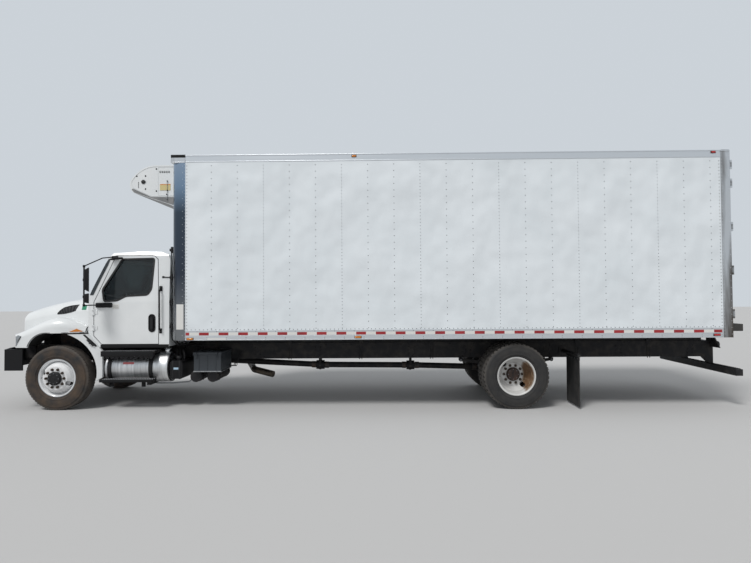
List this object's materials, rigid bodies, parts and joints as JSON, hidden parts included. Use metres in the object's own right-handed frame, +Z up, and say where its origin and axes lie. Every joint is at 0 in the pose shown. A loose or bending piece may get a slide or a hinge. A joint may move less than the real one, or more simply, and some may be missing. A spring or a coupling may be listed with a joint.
{
  "type": "refrigerated box truck",
  "caption": "Medium-duty refrigerated box truck with a tilting hood, twin rear tyres, swing cargo doors and a nose-mounted cooling unit.",
  "frame": {"origin": "on the ground under the middle of the truck's length and width", "axes": "+X forward, +Y to the truck's left, +Z up"},
  "size_m": [11.7188, 2.9088, 3.99],
  "materials": {
    "black_paint": "satin",
    "black_plastic": "matte",
    "black_rubber": "matte",
    "floor_metal": "satin",
    "galvanised": "satin",
    "iron": "matte",
    "lamp_lens": "gloss",
    "polished_aluminium": "polished",
    "red_lens": "gloss",
    "seat_cloth": "matte",
    "stainless": "polished",
    "tyre_rubber": "matte",
    "wheel_paint": "gloss",
    "white_paint": "gloss",
    "white_panel": "gloss",
    "window": "gloss"
  },
  "bodies": {
    "truck": {"air_tanks": "black_paint", "battery_box": "black_plastic", "body_beams": "galvanised", "body_floor": "floor_metal", "body_front_wall": "white_panel", "body_roof": "white_panel", "body_side_left": "white_panel", "body_side_right": "white_panel", "body_sills": "black_paint", "cab_glass": "window", "cab_shell": "white_paint", "cab_steps": "black_paint", "chassis_frame": "black_paint", "corner_posts": "stainless", "dashboard": "black_plastic", "dock_bumpers": "black_rubber", "driveshaft": "iron", "engine": "iron", "exhaust": "polished_aluminium", "fender_skirts": "white_paint", "fluid_tank": "black_plastic", "front_axle": "iron", "front_bumper": "black_plastic", "fuel_tank": "polished_aluminium", "gearbox": "iron", "mud_flaps": "black_rubber", "radiator": "black_paint", "rear_axle": "iron", "rear_frame": "stainless", "rear_guard": "galvanised", "reefer_unit": "white_paint", "seats": "seat_cloth", "side_rails": "polished_aluminium", "springs": "iron", "steering_wheel": "black_plastic", "tail_lamps": "red_lens"},
    "knuckle_left": {"knuckle_left": "iron"},
    "knuckle_right": {"knuckle_right": "iron"},
    "tie_rod": {"tie_rod": "iron"},
    "front_left_wheel": {"front_wheel_left": "polished_aluminium", "front_tyre_left": "tyre_rubber"},
    "front_right_wheel": {"front_wheel_right": "polished_aluminium", "front_tyre_right": "tyre_rubber"},
    "rear_left_wheels": {"rear_wheels_left": "wheel_paint", "rear_tyres_left": "tyre_rubber"},
    "rear_right_wheels": {"rear_wheels_right": "wheel_paint", "rear_tyres_right": "tyre_rubber"},
    "hood": {"hood": "white_paint", "grille": "stainless", "headlamps": "lamp_lens", "fender_liners": "black_plastic"},
    "cab_door_left": {"door_left": "white_paint", "door_glass_left": "window", "mirror_left": "black_plastic"},
    "cab_door_right": {"door_right": "white_paint", "door_glass_right": "window", "mirror_right": "black_plastic"},
    "cargo_door_left": {"cargo_door_left": "white_panel"},
    "cargo_door_right": {"cargo_door_right": "white_panel"}
  },
  "joints": [
    {"name": "front_left_spin", "type": "hinge", "parent": "knuckle_left", "child": "front_left_wheel", "pos_m": [4.8545, 1.03, 0.508], "axis": [0, 1, 0], "continuous": true},
    {"name": "front_right_spin", "type": "hinge", "parent": "knuckle_right", "child": "front_right_wheel", "pos_m": [4.8545, -1.03, 0.508], "axis": [0, 1, 0], "continuous": true},
    {"name": "rear_left_spin", "type": "hinge", "parent": "truck", "child": "rear_left_wheels", "pos_m": [-2.3705, 0.925, 0.508], "axis": [0, 1, 0], "continuous": true},
    {"name": "rear_right_spin", "type": "hinge", "parent": "truck", "child": "rear_right_wheels", "pos_m": [-2.3705, -0.925, 0.508], "axis": [0, 1, 0], "continuous": true},
    {"name": "steer_left", "type": "hinge", "parent": "truck", "child": "knuckle_left", "pos_m": [4.8545, 0.88, 0.508], "axis": [0, 0, 1], "range_deg": [-40, 40]},
    {"name": "steer_right", "type": "hinge", "parent": "truck", "child": "knuckle_right", "pos_m": [4.8545, -0.88, 0.508], "axis": [0, 0, 1], "range_deg": [-40, 40]},
    {"name": "tie_rod_swing", "type": "hinge", "parent": "knuckle_left", "child": "tie_rod", "pos_m": [4.7145, 0.85, 0.382], "axis": [0, 0, 1], "range_deg": [-40, 40]},
    {"name": "hood_tilt", "type": "hinge", "parent": "truck", "child": "hood", "pos_m": [5.7345, 0, 1.02], "axis": [0, 1, 0], "range_deg": [0, 70]},
    {"name": "cab_door_left_swing", "type": "hinge", "parent": "truck", "child": "cab_door_left", "pos_m": [4.3175, 1.039, 1.4], "axis": [0, 0, -1], "range_deg": [0, 65]},
    {"name": "cab_door_right_swing", "type": "hinge", "parent": "truck", "child": "cab_door_right", "pos_m": [4.3175, -1.039, 1.4], "axis": [0, 0, 1], "range_deg": [0, 65]},
    {"name": "cargo_door_left_swing", "type": "hinge", "parent": "truck", "child": "cargo_door_left", "pos_m": [-5.6855, 1.29, 2.5], "axis": [0, 0, -1], "range_deg": [0, 270]},
    {"name": "cargo_door_right_swing", "type": "hinge", "parent": "truck", "child": "cargo_door_right", "pos_m": [-5.6855, -1.29, 2.5], "axis": [0, 0, 1], "range_deg": [0, 270]}
  ],
  "couplings": [
    {"joint": "steer_right", "follows": "steer_left", "ratio": 1},
    {"joint": "tie_rod_swing", "follows": "steer_left", "ratio": -1}
  ]
}
